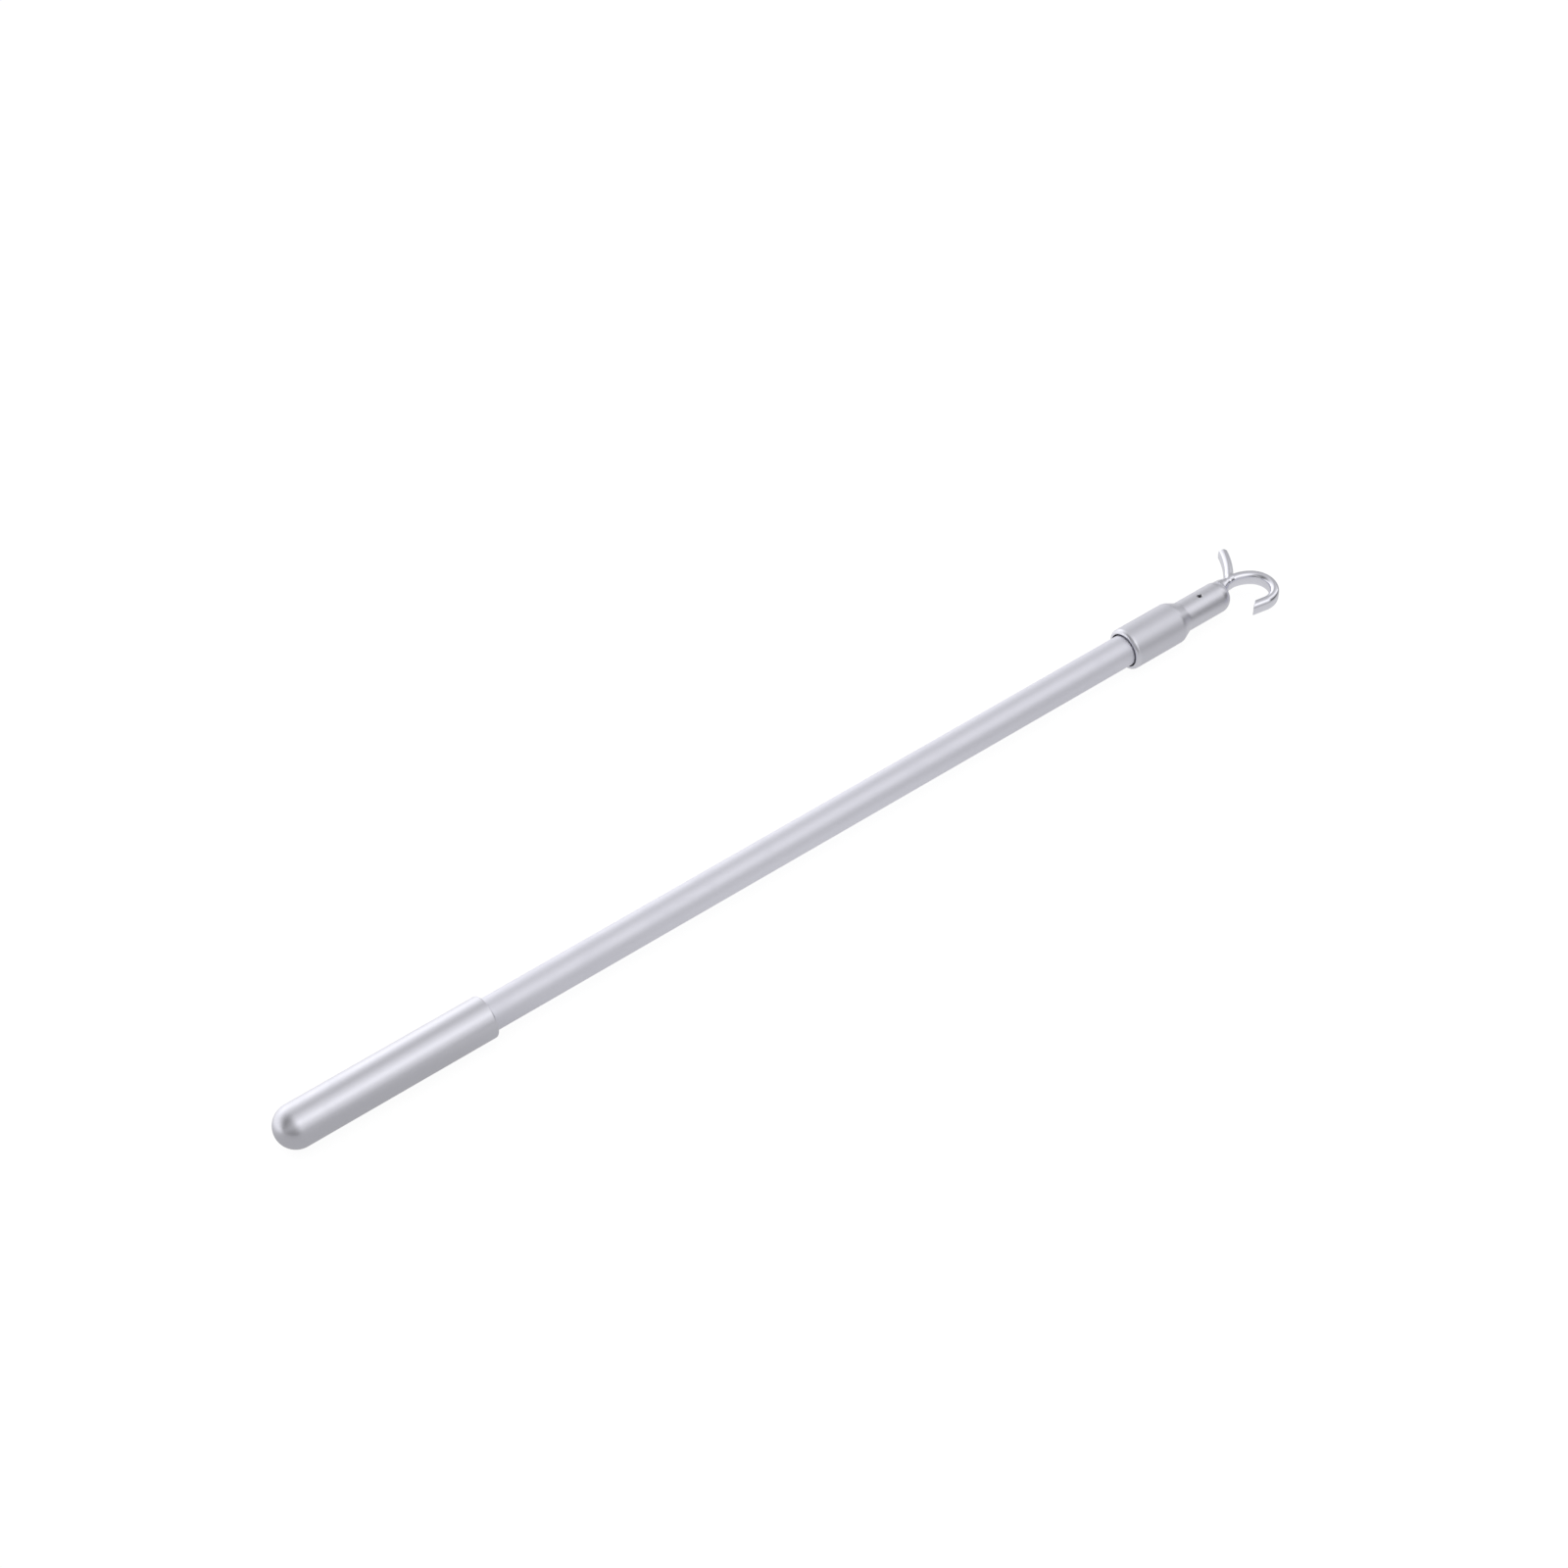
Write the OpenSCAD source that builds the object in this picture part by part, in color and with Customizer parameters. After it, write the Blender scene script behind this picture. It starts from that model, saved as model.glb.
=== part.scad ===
// A pole with a grip at its rear end and, at its front end, a swivelling head that
// carries a hook and a prong. The pole lies along x, with the head towards +x, and
// the hook and prong lie in the xy plane: the hook curls round to -y, the prong points to +y.

/* [Pole] */
// Outside diameter of the pole tube
tube_d = 16; // [15.5:0.1:16.5]
// Wall thickness of the pole tube
tube_wall = 1.2; // [1:0.05:1.4]
// Bare length of tube between the grip and the collar
shaft_visible = 384.4; // [200:0.1:900]

/* [Grip] */
// Outside diameter of the grip
grip_d = 20.8; // [20.6:0.1:24]
// Length of the straight part of the grip
grip_cyl = 99.2; // [95:0.1:140]
// Rounding of the grip's open end
grip_lip_r = 0.8; // [0.4:0.1:1.2]

/* [Collar] */
// Outside diameter of the collar
collar_d = 21.5; // [21.3:0.1:24]
// Length of the collar from its open lip to the start of the shoulder
collar_len = 32.2; // [31:0.1:45]
// Length of the sloping shoulder between the collar and the neck
shoulder_len = 6.4; // [6:0.1:12]
// Rounding of the collar's open lip
lip_r = 1.9; // [1:0.1:1.9]
// Radial gap between the tube and the collar's mouth
mouth_gap = 0.8; // [0.6:0.05:0.8]

/* [Neck] */
// Outside diameter of the neck
neck_d = 15.75; // [15:0.05:16]
// Length of the straight neck
neck_len = 23.4; // [20:0.1:30]
// Distance of the cross pin from the neck's open rim
pin_back = 11.4; // [9:0.1:12]
// Diameter of the cross pin
pin_d = 2.4; // [2:0.1:3]

/* [Hook] */
// Width of the hook's bar, in the plane of the hook
bar_w = 4.7; // [4.5:0.05:5.5]
// Height of the hook's bar, across the plane of the hook
bar_h = 7.4; // [6:0.05:8]
// Rounding of the bar's long edges
bar_edge = 2.1; // [0.6:0.1:2.2]
// Radius of the round inside of the hook
bight_r = 8.35; // [8:0.05:10]
// Length of the straight end of the hook
hook_tail = 6.6; // [3:0.1:8]
// Angle by which the straight end leans in towards the neck
hook_close = 10; // [0:1:20]
// Slant of the cut across the hook's end
hook_slant = 42; // [0:1:50]
// Length of the straight part of the prong
prong_straight = 9.3; // [7:0.1:12]
// Length of the curved part of the prong
prong_curved = 16.9; // [10:0.1:20]
// Slant of the cut across the prong's end
prong_slant = 12; // [0:1:30]

/* [Swivel] */
// Diameter of the spindle that the head turns on
spindle_d = 6; // [6:0.1:6.2]
// Radial running clearance of the swivel
run_gap = 0.05; // [0.02:0.01:0.1]

/* [Hidden] */

// Drawn gap between two pieces that are pressed or screwed together
fit = 0.01;
tube_r = tube_d / 2;
bore_r = tube_r - tube_wall;
grip_r = grip_d / 2;
collar_r = collar_d / 2;
mouth_r = tube_r + mouth_gap;
neck_r = neck_d / 2;
pin_r = pin_d / 2;
spindle_r = spindle_d / 2;
spindle_hole_r = spindle_r + fit;
spindle_run_r = spindle_r + run_gap;
shank_r = 4;

// Lengths along the pole
flange_len = 2;        // flange of either plug, outside the tube's end
rear_plug_len = 15;    // inside the tube
swivel_plug_len = 18;  // inside the tube
plug_chamfer = 0.5;
spindle_hole_len = 9;
stud_hole_len = 6.5;

// Stations along the pole: x = 0 is the middle of the grip's straight part
x_grip_rear = -grip_cyl / 2;
x_mouth = grip_cyl / 2 + grip_lip_r;
x_lip = x_mouth + shaft_visible;
x_shoulder = x_lip + collar_len;
x_neck = x_shoulder + shoulder_len;
x_rim = x_neck + neck_len;
x_web = x_shoulder - 1.9;  // rear face of the solid web inside the head
x_socket = x_neck + 2.3;   // floor of the shank's socket
x_pin = x_rim - pin_back;
x_tube_front = x_web - 3;
x_tube_rear = x_grip_rear + 2.6;
x_floor = x_tube_rear - flange_len - run_gap;  // floor of the grip's bore
x_plug_rear = x_tube_front - swivel_plug_len;
x_rear_dowels = x_tube_rear + 8;
x_front_dowels = x_tube_front - swivel_plug_len / 2;

// Colours shared by several pieces
mid_grey = [0.62, 0.63, 0.65];
plug_tan = [0.74, 0.66, 0.42];
off_white = [0.92, 0.92, 0.90];

// Points on an arc of a turned profile, each [radius, station]; 0 degrees is outward, 90 forward
function arc(mid_r, mid_x, r, from, to, steps) =
    [for (i = [0 : steps]) let (a = from + (to - from) * i / steps)
        [mid_r + r * cos(a), mid_x + r * sin(a)]];

// Turns a profile of [radius, station] points about the pole's axis
module turned(profile) {
    rotate([0, 90, 0]) rotate_extrude($fn = 128) polygon(profile);
}

// A plain ring about the pole's axis
module ring(r_in, r_out, x0, x1) {
    turned([[r_in, x0], [r_out, x0], [r_out, x1], [r_in, x1]]);
}

// A straight rod along the pole's axis, chamfered at both ends
module rod(r, x0, x1, chamfer) {
    turned([[0, x0], [r - chamfer, x0], [r, x0 + chamfer],
            [r, x1 - chamfer], [r - chamfer, x1], [0, x1]]);
}

// A hexagonal prism along the pole's axis, sized across its flats
module hexagon(flats, x, len) {
    translate([x, 0, 0]) rotate([0, 90, 0]) cylinder(r = flats / sqrt(3), h = len, $fn = 6);
}

// Two short radial cylinders, one each side of the pole's axis
module radial_pair(r, x, from, to) {
    for (side = [-1, 1])
        translate([x, side * from, 0]) rotate([-90 * side, 0, 0])
            cylinder(r = r, h = to - from, $fn = 48);
}

dowel_r = 1;

module dowels(x) {
    radial_pair(dowel_r, x, spindle_r + 1, tube_r - 0.1);
}

module dowel_holes(x, from) {
    radial_pair(dowel_r + fit, x, from, tube_r + 1);
}

// ---------------------------------------------------------------- grip and tube

o_ring_x = [x_mouth - 9, x_grip_rear + 22];
o_ring_r = 0.72;  // of the ring's round section
groove_r = tube_r + 2 * o_ring_r + 0.06;
groove_half_w = 0.95;
sleeve_bore_r = tube_r + 0.03;
mouth_chamfer = 0.3;

// One O-ring groove in the grip's bore, from its front edge to its rear edge
function groove(x) = let (front = x + groove_half_w, rear = x - groove_half_w)
    [[sleeve_bore_r, front], [groove_r, front], [groove_r, rear], [sleeve_bore_r, rear]];

module grip_sleeve() {
    color([0.80, 0.81, 0.84]) turned(concat(
        arc(0, x_grip_rear, grip_r, -90, 0, 24),
        arc(grip_r - grip_lip_r, grip_cyl / 2, grip_lip_r, 0, 90, 8),
        [[sleeve_bore_r + mouth_chamfer, x_mouth], [sleeve_bore_r, x_mouth - mouth_chamfer]],
        [for (x = o_ring_x, point = groove(x)) point],
        [[sleeve_bore_r, x_floor], [spindle_hole_r, x_floor],
         [spindle_hole_r, x_floor - stud_hole_len], [0, x_floor - stud_hole_len]]));
}

module grip_o_rings() {
    color([0.10, 0.10, 0.11]) for (x = o_ring_x)
        rotate([0, 90, 0]) translate([0, 0, x]) rotate_extrude($fn = 128)
            translate([tube_r + o_ring_r + 0.02, 0]) circle(r = o_ring_r, $fn = 32);
}

// Joins the grip to the rear plug
module grip_stud() {
    color(mid_grey) rod(spindle_r, x_floor - 6, x_tube_rear + 10, chamfer = 0.5);
}

module rear_plug() {
    plug_r = bore_r - fit;
    x_flange = x_tube_rear - flange_len;
    x_front = x_tube_rear + rear_plug_len;
    color(plug_tan) difference() {
        turned([[spindle_hole_r, x_flange], [tube_r, x_flange], [tube_r, x_tube_rear - fit],
                [plug_r, x_tube_rear - fit], [plug_r, x_front - plug_chamfer],
                [bore_r - plug_chamfer, x_front], [spindle_hole_r, x_front]]);
        dowel_holes(x_rear_dowels, spindle_r + 0.9);
    }
}

module rear_plug_dowels() {
    color(mid_grey) dowels(x_rear_dowels);
}

module pole_tube() {
    color([0.78, 0.79, 0.82]) difference() {
        ring(bore_r, tube_r, x_tube_rear, x_tube_front);
        dowel_holes(x_rear_dowels, bore_r - 1);
        dowel_holes(x_front_dowels, bore_r - 1);
    }
}

// ---------------------------------------------------------------- swivel inside the collar

washer_bore_r = spindle_r + 0.15;
thrust_len = 0.9;  // rear thrust washer
flat_len = 1;      // flat washer
spring_len = 0.5;  // disc spring's thickness along the axis
spring_cone = 0.4; // how far its rim lies behind its bore
nut_len = 5;
nut_flats = 10;
insert_r = 3.9;
insert_len = 1.3;

// Stations of the stack behind the swivel plug, from front to rear
x_stack = x_plug_rear - run_gap;
x_flat_front = x_stack - thrust_len;
x_flat_rear = x_flat_front - flat_len;
x_spring = x_flat_rear - fit;
x_nut = x_spring - spring_cone - spring_len - fit;
x_nut_rear = x_nut - nut_len;
x_spindle_rear = x_nut_rear - 2.2;

module swivel_plug() {
    plug_r = bore_r - fit;
    x_seat = x_tube_front + fit;
    x_front = x_tube_front + flange_len;
    color(plug_tan) difference() {
        turned([[spindle_run_r, x_plug_rear], [bore_r - plug_chamfer, x_plug_rear],
                [plug_r, x_plug_rear + plug_chamfer], [plug_r, x_seat], [tube_r, x_seat],
                [tube_r, x_front], [spindle_run_r, x_front]]);
        dowel_holes(x_front_dowels, spindle_r + 0.9);
    }
}

module swivel_plug_dowels() {
    color(mid_grey) dowels(x_front_dowels);
}

module front_thrust_washer() {
    color(off_white)
        ring(washer_bore_r, tube_r - 0.3, x_tube_front + flange_len + fit, x_web - run_gap);
}

module rear_thrust_washer() {
    color(off_white) ring(washer_bore_r, bore_r - 0.4, x_flat_front, x_stack);
}

module flat_washer() {
    color(mid_grey) ring(washer_bore_r, bore_r - 0.8, x_flat_rear, x_flat_front - fit);
}

module disc_spring() {
    rim_r = bore_r - 0.9;
    x_rim_front = x_spring - spring_cone;
    color(mid_grey) turned([[washer_bore_r, x_spring - spring_len], [washer_bore_r, x_spring],
                            [rim_r, x_rim_front], [rim_r, x_rim_front - spring_len]]);
}

// Hexagon with a round crown behind it, which holds the insert
module lock_nut() {
    color(mid_grey) difference() {
        union() {
            hexagon(nut_flats, x_nut_rear, nut_len);
            ring(1, 4.75, x_nut_rear - 1.6, x_nut_rear + 0.5);
        }
        ring(0, spindle_hole_r, x_nut_rear - 2, x_nut + 1);
        ring(0, insert_r, x_nut_rear - insert_len, x_nut_rear);
    }
}

module nut_insert() {
    color([0.90, 0.91, 0.94])
        ring(spindle_hole_r, insert_r - fit, x_nut_rear - insert_len + fit, x_nut_rear - fit);
}

// Has a hexagonal recess, 3 deep, in its rear end
module spindle() {
    color(mid_grey) difference() {
        rod(spindle_r, x_spindle_rear, x_web + spindle_hole_len - 0.4, chamfer = 0.5);
        hexagon(3, x_spindle_rear - 1, 4);
    }
}

// Sleeve in the collar's mouth, slit along its -y side
module collar_liner() {
    x_rear = x_lip + 2.8;
    len = 21;
    x_front = x_rear + len;
    chamfer = 0.2;
    slit = 0.8;
    r_in = tube_r + run_gap;
    r_out = mouth_r - fit;
    color([0.16, 0.16, 0.18]) difference() {
        turned([[r_in, x_rear + chamfer], [r_in + chamfer, x_rear], [r_out, x_rear],
                [r_out, x_front], [r_in, x_front]]);
        translate([x_rear - 1, -tube_r - 2, -slit / 2]) cube([len + 2, 4, slit]);
    }
}

// ---------------------------------------------------------------- head

// Hole for the cross pin, right through the neck along z
module pin_hole() {
    translate([x_pin, 0, -neck_r - 1]) cylinder(r = pin_r + fit, h = neck_d + 2, $fn = 48);
}

module head_ferrule() {
    slope = atan((collar_r - neck_r) / shoulder_len);
    // Roundings where the shoulder meets the collar and the neck, and their tangent lengths
    collar_round = 5;
    neck_round = 2;
    collar_tangent = collar_round * tan(slope / 2);
    neck_tangent = neck_round * tan(slope / 2);
    socket_r = shank_r + 2 * fit;
    x_hole_end = x_web + spindle_hole_len;
    color([0.74, 0.75, 0.79]) difference() {
        turned(concat(
            [[mouth_r, x_lip + 0.05], [collar_r - lip_r, x_lip]],
            arc(collar_r - lip_r, x_lip + lip_r, lip_r, -90, 0, 12),
            arc(collar_r - collar_round, x_shoulder - collar_tangent, collar_round, 0, slope, 6),
            arc(neck_r + neck_round, x_neck + neck_tangent, neck_round, 180 + slope, 180, 6),
            [[neck_r, x_rim], [socket_r, x_rim], [socket_r, x_socket], [0, x_socket],
             [0, x_hole_end], [spindle_hole_r, x_hole_end], [spindle_hole_r, x_web],
             [mouth_r, x_web]]));
        pin_hole();
    }
}

// Hollow pin, slit along its front side
module hook_pin() {
    end_gap = 0.75;
    wall = 0.5;
    slit = 0.5;
    color(mid_grey) difference() {
        translate([x_pin, 0, -neck_r + end_gap])
            cylinder(r = pin_r, h = neck_d - 2 * end_gap, $fn = 48);
        translate([x_pin, 0, -neck_r]) cylinder(r = pin_r - wall, h = neck_d, $fn = 48);
        translate([x_pin, -slit / 2, -neck_r]) cube([pin_d, slit, neck_d]);
    }
}

// Section of the hook's bar: x across the bar, y up; each corner is [x, y, first angle]
bar_section = let (x = bar_w / 2 - bar_edge, y = bar_h / 2 - bar_edge)
    [for (corner = [[x, y, 0], [-x, y, 90], [-x, -y, 180], [x, -y, 270]], i = [0 : 5])
        let (a = corner[2] + 18 * i)
        [corner.x + bar_edge * cos(a), corner.y + bar_edge * sin(a)]];

// A pose on a bar's centre line is [x, y, heading]. A positive bend angle turns left.
function advance(pose, len) =
    [pose.x + len * cos(pose[2]), pose.y + len * sin(pose[2]), pose[2]];
function bend_centre(pose, r, angle) =
    [pose.x - sign(angle) * r * sin(pose[2]), pose.y + sign(angle) * r * cos(pose[2])];
function bend(pose, r, angle) = let (mid = bend_centre(pose, r, angle), heading = pose[2] + angle)
    [mid.x + sign(angle) * r * sin(heading), mid.y - sign(angle) * r * cos(heading), heading];
function arc_angle(len, r) = len / r * 180 / PI;

module at_pose(pose) {
    translate([pose.x, pose.y, 0]) rotate([0, 0, pose[2]]) children();
}

module straight_bar(pose, len, size = 1) {
    at_pose(pose) rotate([90, 0, 90]) linear_extrude(len) polygon(size * bar_section);
}

module bent_bar(pose, r, angle, size = 1) {
    mid = bend_centre(pose, r, angle);
    at_pose([mid.x, mid.y, angle > 0 ? pose[2] - 90 : pose[2] + 90 + angle])
        rotate_extrude(angle = abs(angle), $fn = 128) translate([r, 0]) polygon(size * bar_section);
}

// Block that cuts a bar's end: everything ahead of the pose, turned by the slant
module end_cut(pose, slant) {
    at_pose([pose.x, pose.y, pose[2] + slant]) translate([0, -15, -10]) cube([20, 30, 20]);
}

// Neighbouring bars overlap by this length, and the one that ends inside the other is drawn
// at a size just below 1, so that no two of their surfaces lie in one another
seat = 0.3;

// Centre line of the hook: an almost straight lead, the round bight, then the straight tail
hook_start = [x_rim + 11.5, 3.4, -5.2];
lead_r = 172;
lead_turn = -2.8;
bight_start = bend(hook_start, lead_r, lead_turn);
bight_mid_r = bight_r + bar_w / 2;
bight_turn = -180 - hook_close - bight_start[2];
tail_start = bend(bight_start, bight_mid_r, bight_turn);
tail_end = advance(tail_start, hook_tail);

// Centre line of the prong: straight, then gently curved
prong_start = [x_rim + 10.6, 1.05, 46.7];
prong_r = 54;
prong_turn = arc_angle(prong_curved, prong_r);
prong_bend = advance(prong_start, prong_straight);
prong_end = bend(prong_bend, prong_r, prong_turn);

// Ball where the domed head runs out into the two bars
module root_ball() {
    translate([x_rim + 7.5, 3.6, 0]) sphere(r = 4.2, $fn = 32);
}

// Flare from that ball into a bar: it ends in a slightly smaller section, inside the bar
module root_flare(pose) {
    hull() {
        root_ball();
        straight_bar(pose, 0.5, size = 0.93);
    }
}

// Domed head that closes the neck and leads into the bars, cut flat at the neck's rim
module dome() {
    difference() {
        hull() {
            translate([x_rim + fit, 0, 0]) rotate([0, 90, 0])
                cylinder(r = neck_r, h = 0.6, $fn = 64);
            translate([x_rim + 0.8, -0.3, 0]) sphere(r = 6.7, $fn = 48);
            root_ball();
        }
        ring(0, 20, x_rim - 12, x_rim + fit);
    }
}

module hook_bars() {
    root_flare(advance(hook_start, 0.8));
    straight_bar(advance(hook_start, -4), 4 + seat, size = 0.99);
    bent_bar(hook_start, lead_r, lead_turn - arc_angle(seat, lead_r), size = 0.995);
    bent_bar(bight_start, bight_mid_r, bight_turn);
    difference() {
        straight_bar(advance(tail_start, -seat), seat + hook_tail + bar_w, size = 0.995);
        end_cut(tail_end, -hook_slant);
    }
}

module prong_bars() {
    root_flare(advance(prong_start, 0.6));
    straight_bar(advance(prong_start, -3.5), 3.5 + prong_straight + seat, size = 0.995);
    difference() {
        bent_bar(prong_bend, prong_r, prong_turn + 3);
        end_cut(prong_end, -prong_slant);
    }
}

module hook() {
    color([0.80, 0.81, 0.85]) difference() {
        union() {
            // shank in the neck's socket
            rod(shank_r, x_socket + 0.2, x_rim + 2, chamfer = 0.4);
            dome();
            hook_bars();
            prong_bars();
        }
        pin_hole();
    }
}

grip_sleeve();
grip_o_rings();
grip_stud();
rear_plug();
rear_plug_dowels();
pole_tube();
swivel_plug();
swivel_plug_dowels();
front_thrust_washer();
head_ferrule();
collar_liner();
spindle();
rear_thrust_washer();
flat_washer();
disc_spring();
lock_nut();
nut_insert();
hook();
hook_pin();
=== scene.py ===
"""Hook pole, lying along X with its axis on Y = 0, Z = 0.

The grip is at low X. The hook is at high X, bent in the XY plane towards -Y, with a prong
that leans towards +Y. Stations and radii come from the CAD nodes' boxes, in millimetres, and
every mesh is written in metres. A profile is a closed list of (x, r) points, turned about X.
"""

import math
from math import radians as rad

import bmesh
import bpy
import numpy as np
from mathutils import Matrix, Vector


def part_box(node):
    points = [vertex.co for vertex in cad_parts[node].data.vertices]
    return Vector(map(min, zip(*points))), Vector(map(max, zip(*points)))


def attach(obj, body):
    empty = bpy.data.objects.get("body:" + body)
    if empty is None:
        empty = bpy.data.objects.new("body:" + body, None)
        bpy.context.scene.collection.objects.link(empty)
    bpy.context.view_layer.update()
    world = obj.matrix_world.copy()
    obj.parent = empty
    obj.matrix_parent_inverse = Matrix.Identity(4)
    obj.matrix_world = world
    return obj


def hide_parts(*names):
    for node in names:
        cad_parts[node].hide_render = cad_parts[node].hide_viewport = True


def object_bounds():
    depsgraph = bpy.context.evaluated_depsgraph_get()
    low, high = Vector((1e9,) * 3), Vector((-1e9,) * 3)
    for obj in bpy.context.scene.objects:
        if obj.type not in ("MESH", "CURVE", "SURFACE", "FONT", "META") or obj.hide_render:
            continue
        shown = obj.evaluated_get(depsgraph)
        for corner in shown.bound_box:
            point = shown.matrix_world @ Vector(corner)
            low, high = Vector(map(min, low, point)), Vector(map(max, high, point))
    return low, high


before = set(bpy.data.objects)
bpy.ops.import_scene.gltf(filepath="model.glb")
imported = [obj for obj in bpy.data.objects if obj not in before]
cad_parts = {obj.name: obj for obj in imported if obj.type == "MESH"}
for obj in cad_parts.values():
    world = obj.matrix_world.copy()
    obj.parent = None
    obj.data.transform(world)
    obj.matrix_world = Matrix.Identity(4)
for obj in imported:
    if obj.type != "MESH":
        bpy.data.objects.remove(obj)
cad_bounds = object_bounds()
MM = 0.001
scene = bpy.context.scene


# ------------------------------------------------------------------ stations, from the frame
def span(node):
    """A CAD node's low x, high x and outer radius."""
    low, high = (np.array(corner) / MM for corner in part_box(node))
    return low[0], high[0], high[2]


def middle(node):
    x0, x1, _ = span(node)
    return (x0 + x1) / 2


x_nose, x_mouth, grip_r = span("grip_sleeve")
x_tube0, x_tube1, tube_r = span("pole_tube")
x_lip, x_rim, collar_r = span("head_ferrule")
x_shank, _, neck_r = span("hook")
x_spindle0, x_spindle1, rod_r = span("spindle")
pin_x0, pin_x1, pin_top = span("hook_pin")
x_pin = middle("hook_pin")
pin_r = (pin_x1 - pin_x0) / 2
bore_r = 6.8 / 8 * tube_r
FIT = 0.01  # clearance between mating parts
DOWEL_R = 1.0

# thread on the stud and the spindle
THREAD_PITCH = 1.0
THREAD_DEPTH = 0.55
ROD_CHAMFER = 0.5
ROD_SEGS = 72


# ------------------------------------------------------------------ mesh helpers
def rounded(corners, steps=3):
    """Corners (x, r, fillet) of a profile, as points with every fillet drawn as an arc."""
    points, count = [], len(corners)
    for i, (x, r, fillet) in enumerate(corners):
        corner = np.array([x, r], float)
        before = np.array(corners[i - 1][:2], float) - corner
        after = np.array(corners[(i + 1) % count][:2], float) - corner
        len_before, len_after = np.linalg.norm(before), np.linalg.norm(after)
        if fillet <= 0 or min(len_before, len_after) < 1e-9:
            points.append(corner)
            continue
        before, after = before / len_before, after / len_after
        angle = math.acos(max(-1.0, min(1.0, float(before @ after))))
        if angle > math.pi - 0.02:
            points.append(corner)
            continue
        # the fillet shrinks where a side is too short for it
        reach = min(fillet / math.tan(angle / 2), 0.45 * len_before, 0.45 * len_after)
        radius = reach * math.tan(angle / 2)
        bisector = (before + after) / np.linalg.norm(before + after)
        centre = corner + bisector * (radius / math.sin(angle / 2))
        v0, v1 = corner + before * reach - centre, corner + after * reach - centre
        sweep = math.atan2(v0[0] * v1[1] - v0[1] * v1[0], float(v0 @ v1))
        for k in range(steps + 1):
            cos, sin = math.cos(sweep * k / steps), math.sin(sweep * k / steps)
            points.append(centre + np.array([v0[0] * cos - v0[1] * sin,
                                             v0[0] * sin + v0[1] * cos]))
    return points


def arc(centre_x, centre_r, radius, start, end, steps):
    """Points on an arc in the (x, r) plane; 0 degrees points along +x, 90 outward."""
    angles = [rad(start + (end - start) * i / steps) for i in range(steps + 1)]
    return [(centre_x + radius * math.cos(a), centre_r + radius * math.sin(a)) for a in angles]


def wall(x0, x1, r, count):
    """Evenly spaced points along the pole at one radius."""
    return [(x, r) for x in np.linspace(x0, x1, count)]


def mesh_from(verts, faces):
    mesh = bpy.data.meshes.new("part")
    mesh.from_pydata([tuple(v) for v in verts], [], [tuple(f) for f in faces])
    bm = bmesh.new()
    bm.from_mesh(mesh)
    bmesh.ops.remove_doubles(bm, verts=bm.verts, dist=1e-8)
    bmesh.ops.dissolve_degenerate(bm, edges=bm.edges, dist=1e-8)
    bmesh.ops.recalc_face_normals(bm, faces=bm.faces)
    if bm.calc_volume(signed=True) < 0:
        bmesh.ops.reverse_faces(bm, faces=bm.faces)
    bm.to_mesh(mesh)
    bm.free()
    return mesh


def lathe(profile, segs=128):
    """A closed profile of (x, r) points turned about the pole's axis."""
    points = []
    for p in profile:
        if not points or np.linalg.norm(np.array(p) - points[-1]) > 1e-5:
            points.append(np.array(p, float))
    if np.linalg.norm(points[0] - points[-1]) < 1e-5:
        points.pop()
    verts, rings = [], []
    for x, r in points:
        if r < 1e-6:
            rings.append([len(verts)])
            verts.append((x * MM, 0, 0))
        else:
            rings.append(list(range(len(verts), len(verts) + segs)))
            verts += [(x * MM, r * MM * math.cos(2 * math.pi * k / segs),
                       r * MM * math.sin(2 * math.pi * k / segs)) for k in range(segs)]
    faces = []
    for i in range(len(points)):
        a, b = rings[i], rings[(i + 1) % len(points)]
        if len(a) == 1 and len(b) == 1:
            continue
        for k in range(segs):
            m = (k + 1) % segs
            if len(a) == 1:
                faces.append((a[0], b[k], b[m]))
            elif len(b) == 1:
                faces.append((a[k], b[0], a[m]))
            else:
                faces.append((a[k], b[k], b[m], a[m]))
    return mesh_from(verts, faces)


def ring_mesh(r_in, r_out, x0, x1, fillet, segs):
    return lathe(rounded([(x0, r_in, fillet), (x0, r_out, fillet),
                          (x1, r_out, fillet), (x1, r_in, fillet)]), segs)


def box(xs, ys, zs):
    """A block between two values on each axis."""
    return mesh_from([(x * MM, y * MM, z * MM) for x in xs for y in ys for z in zs],
                     [(0, 1, 3, 2), (4, 5, 7, 6), (0, 1, 5, 4),
                      (2, 3, 7, 6), (0, 2, 6, 4), (1, 3, 7, 5)])


def stood(mesh, axis, x):
    """Turns a mesh made about X to stand about Y or Z, and slides it to station x."""
    angle, about = (90, "Z") if axis == "Y" else (-90, "Y")
    mesh.transform(Matrix.Rotation(rad(angle), 4, about))
    mesh.transform(Matrix.Translation((x * MM, 0, 0)))
    return mesh


def join(meshes):
    bm = bmesh.new()
    for mesh in meshes:
        bm.from_mesh(mesh)
    joined = bpy.data.meshes.new("joined")
    bm.to_mesh(joined)
    bm.free()
    return joined


def boolean(mesh, cutter, how="DIFFERENCE"):
    base = bpy.data.objects.new("boolean_base", mesh)
    tool = bpy.data.objects.new("boolean_tool", cutter)
    scene.collection.objects.link(base)
    scene.collection.objects.link(tool)
    mod = base.modifiers.new("boolean", "BOOLEAN")
    mod.operation, mod.solver, mod.object = how, "EXACT", tool
    bpy.context.view_layer.update()
    graph = bpy.context.evaluated_depsgraph_get()
    result = bpy.data.meshes.new_from_object(base.evaluated_get(graph), depsgraph=graph)
    bpy.data.objects.remove(base)
    bpy.data.objects.remove(tool)
    return result


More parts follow.
